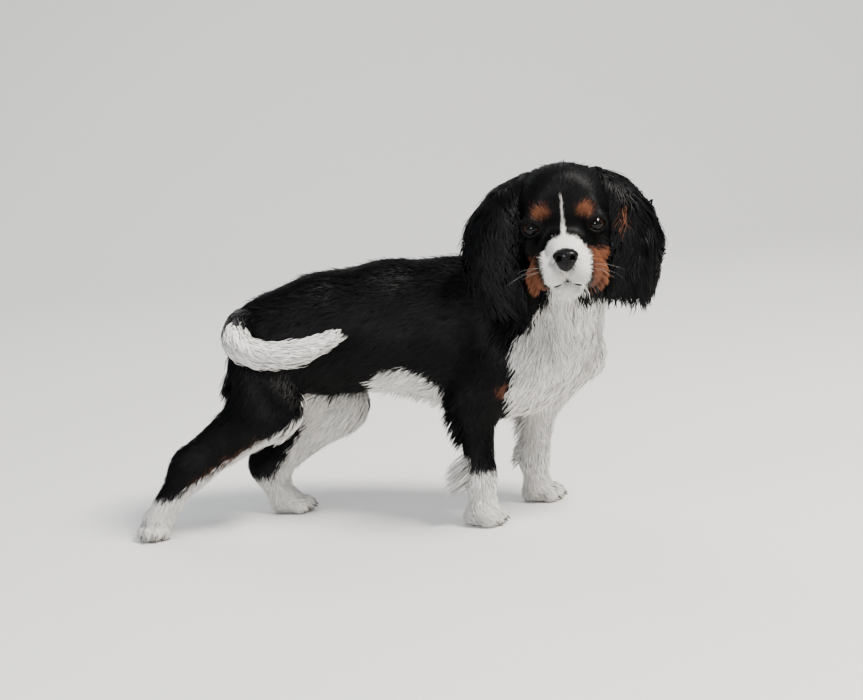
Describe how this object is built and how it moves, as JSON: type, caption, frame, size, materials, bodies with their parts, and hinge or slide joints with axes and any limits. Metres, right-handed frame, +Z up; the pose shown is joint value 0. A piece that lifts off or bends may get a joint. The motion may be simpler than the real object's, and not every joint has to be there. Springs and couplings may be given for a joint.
{
  "type": "cavalier king charles spaniel puppy",
  "caption": "Standing cavalier king charles spaniel puppy, tricolour, hind leg stretched back, head turned to its right and tail curled forward round its rump.",
  "frame": {"origin": "on the floor, at the middle of the dog's bounding box", "axes": "+X towards the chest, +Y to the dog's left, +Z up"},
  "size_m": [0.5022, 0.1926, 0.3221],
  "materials": {
    "black_coat": "glossy silky black hair",
    "white_coat": "silky white hair",
    "eye": "wet dark brown eye",
    "nose_leather": "moist black nose leather"
  },
  "bodies": {
    "root": {"head": "black_coat", "neck": "black_coat", "torso": "black_coat", "ear_left": "black_coat", "ear_right": "black_coat", "eye_left": "eye", "eye_right": "eye", "nose": "nose_leather", "tail_root": "black_coat", "tail_middle": "white_coat", "tail_tip": "white_coat", "foreleg_left": "white_coat", "foreleg_right": "black_coat", "forepaw_left": "white_coat", "forepaw_right": "white_coat", "hindleg_left": "black_coat", "hindleg_right": "black_coat", "hindpaw_left": "white_coat", "hindpaw_right": "white_coat"}
  },
  "joints": []
}
